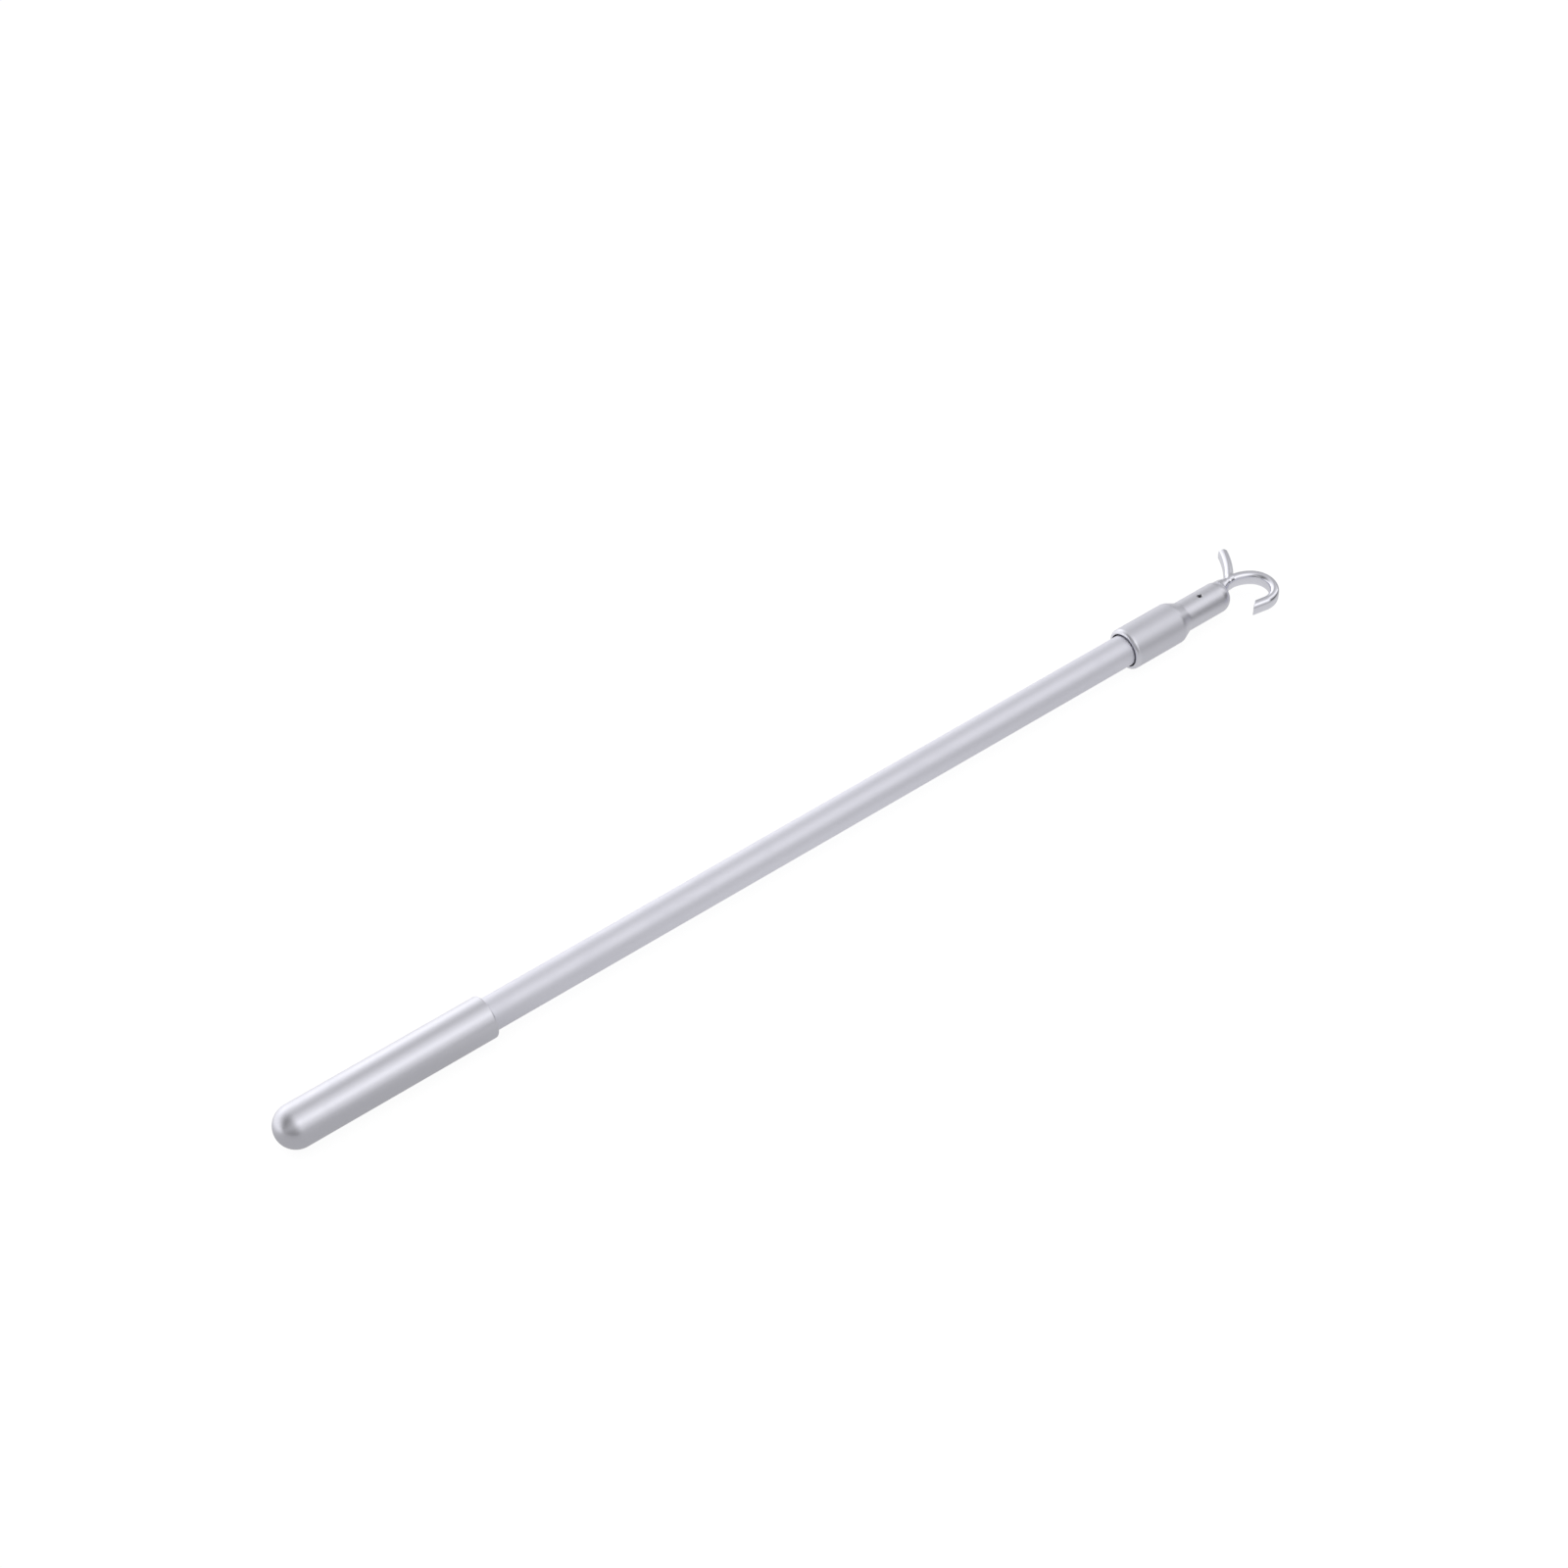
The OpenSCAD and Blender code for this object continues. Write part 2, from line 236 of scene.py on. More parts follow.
def weld(mesh, dist=2e-6):
    """Closes the hairline slivers a boolean can leave where two edges cross."""
    bm = bmesh.new()
    bm.from_mesh(mesh)
    bmesh.ops.remove_doubles(bm, verts=bm.verts[:], dist=dist)
    bmesh.ops.dissolve_degenerate(bm, edges=bm.edges[:], dist=dist)
    bm.to_mesh(mesh)
    bm.free()
    return mesh


def rod_cutter(r, length, x, axis, segs):
    half = length / 2
    return stood(lathe([(-half, 0), (-half, r), (half, r), (half, 0)], segs), axis, x)


def hex_prism(across_flats, x0, x1):
    r = across_flats / math.sqrt(3)
    ring = [(r * math.cos(rad(60 * k)), r * math.sin(rad(60 * k))) for k in range(6)]
    verts = [(x * MM, y * MM, z * MM) for x in (x0, x1) for y, z in ring]
    sides = [(k, (k + 1) % 6, 6 + (k + 1) % 6, 6 + k) for k in range(6)]
    return mesh_from(verts, [tuple(range(6)), tuple(range(6, 12))] + sides)


def threaded_rod(x0, x1, r, zones):
    """A rod whose zones (from, to) carry a helical thread that stays inside the rod's radius."""
    steps = int((x1 - x0) / (THREAD_PITCH / 10))
    stations = np.linspace(x0, x1, steps + 1)
    angles = np.arange(ROD_SEGS) * 2 * math.pi / ROD_SEGS
    X, T = np.meshgrid(stations, angles, indexing="ij")
    phase = (X / THREAD_PITCH - T / (2 * math.pi)) % 1.0
    # flat crests and roots, 0.16 of the half pitch each, with straight flanks between
    groove = np.clip((np.abs(phase * 2 - 1) - 0.16) / 0.68, 0, 1)
    mask = np.zeros_like(X)
    run_out = 0.8 * THREAD_PITCH
    for start, end in zones:
        fade_in = np.clip((X - start) / run_out, 0, 1)
        fade_out = np.clip((end - X) / run_out, 0, 1)
        mask = np.maximum(mask, np.minimum(fade_in, fade_out))
    R = r - THREAD_DEPTH * groove * mask
    from_end = np.minimum(X - x0, x1 - X)
    R = np.minimum(R, r - ROD_CHAMFER + np.minimum(from_end, ROD_CHAMFER))
    verts = np.stack([X * MM, R * MM * np.cos(T), R * MM * np.sin(T)], -1).reshape(-1, 3).tolist()
    faces = []
    for i in range(steps):
        a, b = i * ROD_SEGS, (i + 1) * ROD_SEGS
        for k in range(ROD_SEGS):
            m = (k + 1) % ROD_SEGS
            faces.append((a + k, b + k, b + m, a + m))
    faces.append(tuple(range(ROD_SEGS)))
    faces.append(tuple(range(steps * ROD_SEGS, (steps + 1) * ROD_SEGS)))
    return mesh_from(verts, faces)


def piece(name, mesh, body, finish, node, sharp=32, normals=None):
    """Puts a mesh on its body in place of its CAD node; finish is (slot, material), and its slot
    is not used.
    """
    slot, material = finish
    mesh.name = name
    obj = bpy.data.objects.new(name, mesh)
    scene.collection.objects.link(obj)
    mesh.polygons.foreach_set("use_smooth", [True] * len(mesh.polygons))
    if normals is None:
        mesh.set_sharp_from_angle(angle=rad(sharp))
        weighted = obj.modifiers.new("weighted", "WEIGHTED_NORMAL")
        weighted.keep_sharp, weighted.weight = True, 80
    else:
        mesh.normals_split_custom_set_from_vertices(normals)
    mesh.materials.clear()
    mesh.materials.append(material)
    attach(obj, body)
    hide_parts(node)


# ------------------------------------------------------------------ shader nodes
def grey(v):
    return (v, v, v, 1.0)


def rgb(colour, factor=1.0):
    return (colour[0] * factor, colour[1] * factor, colour[2] * factor, 1.0)


class Nodes:
    """Adds and links shader nodes in the tree of a material or a world."""

    def __init__(self, owner):
        owner.use_nodes = True
        self.tree = owner.node_tree
        self.tree.nodes.clear()

    def new(self, kind, **settings):
        node = self.tree.nodes.new("ShaderNode" + kind)
        for key, value in settings.items():
            setattr(node, key, value)
        return node

    def put(self, value, socket):
        if isinstance(value, bpy.types.NodeSocket):
            self.tree.links.new(value, socket)
        else:
            socket.default_value = value

    def filled(self, node, *values, out=0):
        """Fills a node's inputs in order, and returns one of its outputs."""
        for value, socket in zip(values, node.inputs):
            self.put(value, socket)
        return node.outputs[out]

    def math(self, op, *values, clamp=False):
        return self.filled(self.new("Math", operation=op, use_clamp=clamp), *values)

    def add(self, *terms):
        total = terms[0]
        for term in terms[1:]:
            total = self.math("ADD", total, term)
        return total

    def clamped(self, v):
        return self.math("ADD", v, 0.0, clamp=True)

    def times(self, v, factor):
        return self.math("MULTIPLY", v, factor)

    def centred(self, v, spread):
        """(v - 0.5) * spread"""
        return self.math("MULTIPLY_ADD", v, spread, -0.5 * spread)

    def rise(self, v, between, to=(0.0, 1.0)):
        """A smooth step, from to[0] to to[1] as v crosses the interval."""
        node = self.new("MapRange", interpolation_type="SMOOTHSTEP")
        for key, x in zip(("Value", "From Min", "From Max", "To Min", "To Max"),
                          (v, *between, *to)):
            self.put(x, node.inputs[key])
        return node.outputs["Result"]

    def curve(self, v, stops):
        """A smooth grey ramp through (position, level) stops."""
        node = self.new("ValToRGB")
        elements = node.color_ramp.elements
        node.color_ramp.interpolation = "EASE"
        while len(elements) > 1:
            elements.remove(elements[0])
        elements[0].position, elements[0].color = stops[0][0], grey(stops[0][1])
        for position, level in stops[1:]:
            elements.new(position).color = grey(level)
        return self.filled(node, v)

    def separate(self, vector):
        node = self.new("SeparateXYZ")
        self.put(vector, node.inputs[0])
        return node.outputs

    def mix_shader(self, factor, a, b):
        return self.filled(self.new("MixShader"), factor, a, b)


class Surface(Nodes):
    """A material's nodes, with textures placed by object coordinates in metres."""

    def __init__(self, name):
        self.material = bpy.data.materials.new(name)
        super().__init__(self.material)
        self.coords = self.new("TexCoord").outputs["Object"]

    def noise(self, scale, detail=3.0, rough=0.5, turn=(0, 0, 0), distort=0.0):
        """Noise whose features are about 1/scale metres across; scale may differ by axis."""
        place = self.new("Mapping")
        place.inputs["Scale"].default_value = scale if isinstance(scale, tuple) else (scale,) * 3
        place.inputs["Rotation"].default_value = turn
        self.put(self.coords, place.inputs["Vector"])
        node = self.new("TexNoise")
        for key, value in (("Vector", place.outputs[0]), ("Scale", 1.0), ("Detail", detail),
                           ("Roughness", rough), ("Distortion", distort)):
            self.put(value, node.inputs[key])
        return node.outputs["Fac"]

    def mix(self, factor, a, b, how="MIX"):
        node = self.new("Mix", data_type="RGBA", blend_type=how)
        self.put(factor, node.inputs["Factor"])
        self.put(a, node.inputs[6])
        self.put(b, node.inputs[7])
        return node.outputs[2]

    def bump(self, height, strength, distance):
        node = self.new("Bump")
        node.inputs["Strength"].default_value = strength
        node.inputs["Distance"].default_value = distance
        self.put(height, node.inputs["Height"])
        return node.outputs[0]

    def output(self, shader):
        self.put(shader, self.new("OutputMaterial").inputs[0])
        return self.material

    def principled(self, inputs):
        node = self.new("BsdfPrincipled")
        for key, value in inputs.items():
            self.put(value, node.inputs[key])
        return self.output(node.outputs[0])


# ------------------------------------------------------------------ materials
LINE_NOISE = {
    "drawn": dict(scale=(35, 5200, 5200), detail=2.0, rough=0.55),  # along the pole
    "turned": dict(scale=(6500, 22, 22), detail=2.0, rough=0.55),  # about the pole
    "hand": dict(scale=(5200, 900, 260), detail=2.0, rough=0.6, turn=(0.3, 0.2, 0.7)),
}


def metal(name, base, rough, lines, grain=5200, tone=0.05, bump=0.06, wear=0.0,
          wear_rough=-0.06, scratches=0.0, smudge=0.0, steps=()):
    """Satin or polished metal: fine grain, lines, slow tone change, smudges and worn edges.

    steps changes the finish and the colour's tone along the pole: (from x, to x, roughness added,
    tone factor) in millimetres. On the head, a tone factor also paints a highlight on the
    collar's lip.
    """
    g = Surface(name)
    fine = g.noise(grain, detail=2.0, rough=0.6)
    line = g.noise(**LINE_NOISE[lines])
    patch = g.noise(38, rough=0.55)
    broad = g.noise(9, detail=2.0)
    lift = g.add(g.centred(patch, tone), g.centred(broad, tone), g.centred(line, tone * 0.7),
                 g.centred(fine, tone * 0.5), 0.5)
    colour = g.mix(g.clamped(lift), rgb(base, 0.80), rgb(base, 1.0 / 0.80))
    # halfway between those two is 1 / 0.9756 of the base, so bring it back
    colour = g.mix(1.0, colour, grey(0.9756), "MULTIPLY")
    roughness = g.add(rough, g.centred(fine, 0.04), g.centred(line, 0.05), g.centred(patch, 0.04))
    if steps:
        along = g.separate(g.coords)[0]
        for x0, x1, rough_added, tone_factor in steps:
            part = g.rise(along, between=(x0 * MM, x1 * MM))
            roughness = g.add(roughness, g.times(part, rough_added))
            colour = g.mix(part, colour, g.mix(1.0, colour, grey(tone_factor), "MULTIPLY"))
    if smudge:
        cloud = g.noise(26, detail=4.0, rough=0.62, distort=1.2)
        touch = g.rise(cloud, between=(0.52, 0.66))
        roughness = g.add(roughness, g.times(touch, smudge))
        colour = g.mix(g.times(touch, 0.05), colour, rgb(base, 0.90))
    if scratches:
        streaks = g.noise((180, 7000, 7000), detail=1.0, turn=(0.15, 0.35, 0.55))
        crossing = g.noise((7000, 160, 7000), detail=1.0, turn=(0.5, 0.1, -0.3))
        scratch = g.math("MAXIMUM", g.rise(streaks, between=(0.685, 0.74)),
                         g.rise(crossing, between=(0.70, 0.75)))
        roughness = g.add(roughness, g.times(scratch, scratches))
    if wear:
        edges = g.rise(g.new("NewGeometry").outputs["Pointiness"], between=(0.505, 0.54))
        broken = g.rise(g.noise(420, rough=0.6), between=(0.36, 0.60), to=(0.35, 1.0))
        worn = g.times(edges, broken)
        colour = g.mix(g.times(worn, wear), colour, rgb((0.93, 0.93, 0.94)))
        roughness = g.add(roughness, g.times(worn, wear_rough))
    height = g.add(g.times(fine, 0.6), g.times(line, 0.6))
    return g.principled({
        "Base Color": colour, "Metallic": 1.0, "Roughness": g.clamped(roughness),
        "Normal": g.bump(height, strength=bump, distance=0.00004)})


def plastic(name, base, rough, bump=0.12, sheen=0.0, translucent=0.0, lines=False):
    """Moulded or turned plastic and rubber: fine pebble, flow streaks and slight tone change."""
    g = Surface(name)
    fine = g.noise(2600, rough=0.6)
    flow = g.noise((6000, 20, 20) if lines else (90, 260, 260), distort=0.4)
    patch = g.noise(120, detail=2.0)
    lift = g.add(g.centred(flow, 0.08), g.centred(patch, 0.08), 0.5)
    colour = g.mix(g.clamped(lift), rgb(base, 0.75), rgb(base, 1.25))
    dust = g.rise(g.noise(900, detail=4.0, rough=0.7), between=(0.58, 0.70))
    colour = g.mix(g.times(dust, 0.05), colour, rgb((0.45, 0.45, 0.46)))
    roughness = g.add(rough, g.centred(fine, 0.10), g.centred(patch, 0.08), g.times(dust, 0.12))
    height = g.add(g.times(fine, 0.6), g.times(flow, 0.5))
    inputs = {"Base Color": colour, "Roughness": g.clamped(roughness),
              "Normal": g.bump(height, strength=bump, distance=0.00005)}
    if sheen:
        inputs["Sheen Weight"] = sheen
    if translucent:
        inputs["Subsurface Weight"] = translucent
        inputs["Subsurface Radius"] = (0.6 * MM, 0.6 * MM, 0.7 * MM)
    return g.principled(inputs)


# each finish is (slot, material)
TINT = np.array([0.800, 0.800, 0.868])
TUBE = ("anodised_tube", metal(
    "anodised_tube_drawn", TINT * 1.08, rough=0.53, lines="drawn", bump=0.05, smudge=0.03))
GRIP = ("satin_grip", metal(
    "satin_grip_blasted", TINT * 0.99, rough=0.34, lines="turned", bump=0.05, smudge=0.05,
    wear=0.15))
# the first step makes the collar past its lip rougher, a real change of finish, and 7.5% darker
# in colour. This leaves the lip's rounding lighter: a painted highlight on the lip.
HEAD = ("satin_head", metal(
    "satin_head_turned", TINT * 1.04, rough=0.33, lines="turned", bump=0.07, tone=0.06,
    smudge=0.04, wear=0.25,
    steps=[(x_lip + 0.4, x_lip + 3.6, 0.15, 0.925), (x_rim - 30.2, x_rim - 29.4, -0.14, 1.0)]))
HOOK = ("hook_metal", metal(
    "hook_plated", TINT * 0.97, rough=0.34, lines="hand", tone=0.06, scratches=0.08, wear=0.30,
    wear_rough=-0.05, steps=[(x_rim + 3.5, x_rim + 9.5, -0.18, 1.10)]))
STEEL = ("steel_hardware", metal(
    "steel_zinc", (0.60, 0.61, 0.63), rough=0.36, lines="turned", grain=3800, bump=0.10,
    tone=0.12, wear=0.4))
DARK_STEEL = ("steel_hardware", metal(
    "steel_blackened", (0.24, 0.24, 0.26), rough=0.42, lines="turned", grain=3600, bump=0.12,
    tone=0.15, wear=0.35))
BRASS = ("brass_plug", metal(
    "brass_turned", (0.78, 0.60, 0.30), rough=0.30, lines="turned", bump=0.10, tone=0.10,
    wear=0.3))
ACETAL = ("white_acetal", plastic(
    "acetal_white", (0.80, 0.80, 0.77), rough=0.42, translucent=0.15, lines=True))
LINER = ("black_liner", plastic(
    "liner_black", (0.014, 0.014, 0.016), rough=0.50, bump=0.10, lines=True))
NYLON = ("nylon_insert", plastic(
    "nylon_natural", (0.72, 0.74, 0.80), rough=0.38, translucent=0.25))
RUBBER = ("black_rubber", plastic(
    "rubber_black", (0.016, 0.016, 0.017), rough=0.62, bump=0.20, sheen=0.2))

# ------------------------------------------------------------------ grip
ring_low, ring_high, ring_top = span("grip_o_rings")
RING_GAP = 0.02  # between the tube and each rubber ring
ring_r = (ring_top - tube_r - RING_GAP) / 2
ring_stations = (ring_low + ring_r, ring_high - ring_r)
socket_r = tube_r + 0.03
groove_r = tube_r + 2 * ring_r + 0.06
GROOVE_HALF = 0.95
MOUTH_ROUND = 0.8
x_floor = x_tube0 - 2.05  # floor of the grip's socket


def grip_shell():
    """Domed sleeve with two grooves in its socket and a blind hole for the stud."""
    profile = arc(x_cyl, 0, grip_r, 180, 90, 40)
    profile += wall(x_cyl, x_mouth - MOUTH_ROUND, grip_r, 14)[1:-1]
    profile += arc(x_mouth - MOUTH_ROUND, grip_r - MOUTH_ROUND, MOUTH_ROUND, 90, 0, 10)
    profile += arc(x_mouth - 0.18, socket_r + 0.3, 0.18, 0, -70, 4)
    profile += [(x_mouth - 0.42, socket_r)]
    for x in reversed(ring_stations):
        x0, x1 = x - GROOVE_HALF, x + GROOVE_HALF
        profile += reversed(rounded([(x0, socket_r, 0), (x0, groove_r, 0.18),
                                     (x1, groove_r, 0.18), (x1, socket_r, 0)]))
    profile += rounded([(x_floor + 1, socket_r, 0), (x_floor, socket_r, 0.25),
                        (x_floor, rod_r + 0.4, 0)])[1:]
    profile += [(x_floor - 0.35, rod_r + FIT), (x_floor - 6.1, rod_r + FIT),
                (x_floor - 6.5, rod_r - 0.5), (x_floor - 7.3, 0)]
    return lathe(profile, 192)


def rubber_ring(x):
    angles = np.arange(28) * 2 * math.pi / 28
    return lathe([(x + ring_r * math.cos(a), tube_r + ring_r + RING_GAP + ring_r * math.sin(a))
                  for a in angles], 144)


x_cyl = x_nose + grip_r  # where the domed nose meets the straight wall
piece("grip_shell", grip_shell(), "pole", GRIP, "grip_sleeve")
piece("grip_rubber_rings", join([rubber_ring(x) for x in ring_stations]), "pole", RUBBER,
      "grip_o_rings", sharp=80)
stud0, stud1, _ = span("grip_stud")
stud_zones = [(stud0 - 1, stud0 + 6.4), (stud0 + 7.0, stud1 + 1)]
piece("grip_threaded_stud", threaded_rod(stud0, stud1, rod_r, stud_zones), "pole", STEEL,
      "grip_stud", sharp=50)

# ------------------------------------------------------------------ tube and its plugs
x_rear_dowel = middle("rear_plug_dowels")
x_swivel_dowel = middle("swivel_plug_dowels")


def dowel_holes(mesh, x):
    return boolean(mesh, rod_cutter(DOWEL_R + FIT, 2 * tube_r + 4, x, "Y", 48))


def tube():
    outer, inner = 0.15, 0.12  # chamfers
    mesh = lathe([(x_tube0, tube_r - outer), *wall(x_tube0 + outer, x_tube1 - outer, tube_r, 60),
                  (x_tube1, tube_r - outer), (x_tube1, bore_r + inner),
                  *wall(x_tube1 - inner, x_tube0 + inner, bore_r, 24),
                  (x_tube0, bore_r + inner)], 160)
    return dowel_holes(dowel_holes(mesh, x_rear_dowel), x_swivel_dowel)


def rear_plug():
    x0, x1, _ = span("rear_plug")
    hole, plug_r, seat = rod_r + FIT, bore_r - FIT, x_tube0 - FIT
    return dowel_holes(lathe(rounded([
        (x0, hole, 0), (x0, hole + 0.4, 0), (x0, tube_r, 0.15), (seat, tube_r, 0.1),
        (seat, plug_r, 0.12), (x1 - 0.5, plug_r, 0.1), (x1, bore_r - 0.5, 0.1),
        (x1, hole + 0.4, 0), (x1 - 0.4, hole, 0), (x0 + 0.4, hole, 0)])), x_rear_dowel)


def swivel_plug():
    x0, x1, _ = span("swivel_plug")
    hole, plug_r, seat = rod_r + 0.05, bore_r - FIT, x_tube1 + FIT
    return dowel_holes(lathe(rounded([
        (x0, hole, 0), (x0, hole + 0.3, 0), (x0, bore_r - 0.5, 0.1), (x0 + 0.5, plug_r, 0.1),
        (seat, plug_r, 0.05), (seat, tube_r, 0.1), (x1, tube_r, 0.2),
        (x1, hole + 0.3, 0), (x1 - 0.3, hole, 0), (x0 + 0.3, hole, 0)])), x_swivel_dowel)


def dowels(node, x):
    """Two dowels across the pole, one on each side of the rod."""
    y0, y1 = rod_r + 1.0, (np.array(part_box(node)[1]) / MM)[1]
    one = stood(lathe(rounded([(y0, 0, 0), (y0, DOWEL_R, 0.2), (y1, DOWEL_R, 0.25),
                               (y1, 0, 0)]), 40), "Y", x)
    other = one.copy()
    other.transform(Matrix.Translation((x * MM, 0, 0)) @ Matrix.Rotation(math.pi, 4, "Z")
                    @ Matrix.Translation((-x * MM, 0, 0)))
    return join([one, other])


piece("tube_drawn", tube(), "pole", TUBE, "pole_tube")
piece("rear_plug_brass", rear_plug(), "pole", BRASS, "rear_plug")
piece("rear_dowels_steel", dowels("rear_plug_dowels", x_rear_dowel), "pole", STEEL,
      "rear_plug_dowels")
piece("swivel_plug_brass", swivel_plug(), "pole", BRASS, "swivel_plug")
piece("swivel_dowels_steel", dowels("swivel_plug_dowels", x_swivel_dowel), "pole", STEEL,
      "swivel_plug_dowels")

# ------------------------------------------------------------------ swivel stack
washer_r = rod_r + 0.15  # hole radius
for name, node, finish, body, fillet in (
        ("thrust_washer_front", "front_thrust_washer", ACETAL, "pole", 0.12),
        ("thrust_washer_rear", "rear_thrust_washer", ACETAL, "head", 0.12),
        ("plain_washer", "flat_washer", STEEL, "head", 0.16)):
    x0, x1, outer_r = span(node)
    piece(name, ring_mesh(washer_r, outer_r, x0, x1, fillet, 112), body, finish, node)


def disc_spring():
    x0, x1, outer_r = span("disc_spring")
    return lathe(rounded([(x1 - 0.5, washer_r, 0.08), (x1, washer_r, 0.08),
                          (x1 - 0.4, outer_r, 0.08), (x0, outer_r, 0.08)]), 112)


def lock_nut():
    """A chamfered hexagon with a round collar on its low-x side, bored for rod and insert."""
    flats, collar = 10, 4.75
    x0, x1, _ = span("lock_nut")
    x_hex = x1 - 5.0
    corner = flats / math.sqrt(3) + 0.02
    chamfers = lathe([(x_hex - 0.02, 0), (x_hex - 0.02, 4.97), (x_hex + 0.5, corner),
                      (x1 - 0.55, corner), (x1 + 0.02, 4.75), (x1 + 0.02, 0)], 96)
    nut = boolean(hex_prism(flats, x_hex, x1), chamfers, "INTERSECT")
    nut = boolean(nut, lathe(rounded([(x0, 0, 0), (x0, collar, 0.45), (x_hex + 0.5, collar, 0),
                                      (x_hex + 0.5, 0, 0)], 5), 96), "UNION")
    bore = lathe([(x0 - 1, 0), (x0 - 1, 3.6), (x0 + 0.3, 3.6), (x0 + 0.3, 3.9), (x_hex, 3.9),
                  (x_hex, rod_r + FIT), (x1 - 0.4, rod_r + FIT), (x1 + 0.1, rod_r + 0.5),
                  (x1 + 0.1, 0)], 96)
    return weld(boolean(nut, bore))


def spindle():
    """Rod threaded at both ends, with a hexagon socket in its low-x end."""
    rod = threaded_rod(x_spindle0, x_spindle1, rod_r,
                       [(x_spindle0 - 1, x_spindle0 + 12.6), (x_spindle1 - 7.9, x_spindle1 + 1)])
    return boolean(rod, hex_prism(3, x_spindle0 - 1, x_spindle0 + 3))


piece("disc_spring_coned", disc_spring(), "head", STEEL, "disc_spring")
piece("lock_nut_hex", lock_nut(), "head", STEEL, "lock_nut", sharp=28)
insert0, insert1, insert_r = span("nut_insert")
piece("nut_insert_nylon", ring_mesh(rod_r + FIT, insert_r, insert0, insert1, 0.1, 96), "head",
      NYLON, "nut_insert")
piece("spindle_threaded", spindle(), "head", STEEL, "spindle", sharp=50)

# ------------------------------------------------------------------ collar, shoulder and neck
liner0, liner1, liner_r = span("collar_liner")
collar_bore = liner_r + FIT


def split_liner():
    """Sleeve round the tube, slit along its -Y side."""
    inner = tube_r + 0.05
    sleeve = lathe(rounded([(liner0, inner + 0.2, 0.08), (liner0, liner_r, 0.1),
                            (liner1, liner_r, 0.1), (liner1, inner, 0.1),
                            (liner0 + 0.2, inner, 0.1)]), 144)
    return boolean(sleeve, box((liner0 - 1, liner1 + 1), (-tube_r - 2, -tube_r + 2), (-0.4, 0.4)))


def head_ferrule():
    """Collar, sloping shoulder and neck, with a web inside and a cross hole for the pin."""
    lip, round_out, round_in = 1.9, 5.0, 2.0  # radii
    x_shoulder, x_neck = x_rim - 29.8, x_rim - 23.4
    x_web, x_socket = x_shoulder - 1.9, x_neck + 2.3
    slope = math.atan((collar_r - neck_r) / (x_neck - x_shoulder))
    deg = math.degrees(slope)
    # where the two rounds of the shoulder touch the straight walls
    x_bend0 = x_shoulder - round_out * math.tan(slope / 2)
    x_bend1 = x_neck + round_in * math.tan(slope / 2)
    profile = arc(x_lip + 0.2, collar_bore + 0.2, 0.2, 270, 180, 4)
    profile += arc(x_lip + lip, collar_r - lip, lip, 180, 90, 18)
    profile += wall(x_lip + lip, x_bend0, collar_r, 10)[1:-1]
    profile += arc(x_bend0, collar_r - round_out, round_out, 90, 90 - deg, 12)
    profile += arc(x_bend1, neck_r + round_in, round_in, 270 - deg, 270, 10)
    profile += wall(x_bend1, x_rim - 0.05, neck_r, 12)[1:-1]
    profile += arc(x_rim - 0.05, neck_r - 0.05, 0.05, 90, 0, 3)
    profile += rounded([(x_rim, 6, 0), (x_rim, 4.3, 0), (x_rim - 0.28, 4.02, 0),
                        (x_socket, 4.02, 0.3), (x_socket, 0, 0)])
    profile += [(x_web + 9.6, 0), (x_web + 9.0, rod_r - 0.5), (x_web + 8.6, rod_r + FIT),
                (x_web + 0.4, rod_r + FIT), (x_web, rod_r + 0.4)]
    profile += rounded([(x_web, rod_r + 0.5, 0), (x_web, collar_bore, 0.4),
                        (x_web - 2, collar_bore, 0)], 4)[1:]
    far, near = neck_r + 2, neck_r - 0.32  # the pin hole is countersunk between these
    pin_hole = lathe([(-far, 0), (-far, pin_r + 2.3), (-near, pin_r + FIT), (near, pin_r + FIT),
                      (far, pin_r + 2.3), (far, 0)], 56)
    return boolean(lathe(profile, 192), stood(pin_hole, "Z", x_pin))


def cross_pin():
    """Rolled spring pin: an upright slit tube with chamfered ends."""
    inner, tip = pin_r - 0.5, pin_r - 0.22
    tube_mesh = lathe(rounded([
        (-pin_top, inner, 0.05), (-pin_top, tip, 0.03), (-pin_top + 0.45, pin_r, 0.12),
        (pin_top - 0.45, pin_r, 0.12), (pin_top, tip, 0.03), (pin_top, inner, 0.05)]), 64)
    slit = box((x_pin, x_pin + pin_r + 1), (-0.25, 0.25), (-pin_top - 1, pin_top + 1))
    return boolean(stood(tube_mesh, "Z", x_pin), slit)


piece("liner_split", split_liner(), "head", LINER, "collar_liner")
piece("head_ferrule_turned", head_ferrule(), "head", HEAD, "head_ferrule", sharp=34)
piece("cross_pin_rolled", cross_pin(), "head", DARK_STEEL, "hook_pin")


# ------------------------------------------------------------------ hook and prong
# One blended solid, as a signed distance field in millimetres; x is measured from the neck's
# rim. A pose is (x, y, heading) on a bar's centre line.
def walk(pose, r, amount):
    """The pose after turning by amount (radians) on radius r, or going straight if r is 0."""
    x, y, heading = pose
    if r == 0:
        return (x + amount * math.cos(heading), y + amount * math.sin(heading), heading)
    s = 1 if amount > 0 else -1
    cx, cy = x - s * r * math.sin(heading), y + s * r * math.cos(heading)
    end = heading + amount
    return (cx + s * r * math.sin(end), cy - s * r * math.cos(end), end)


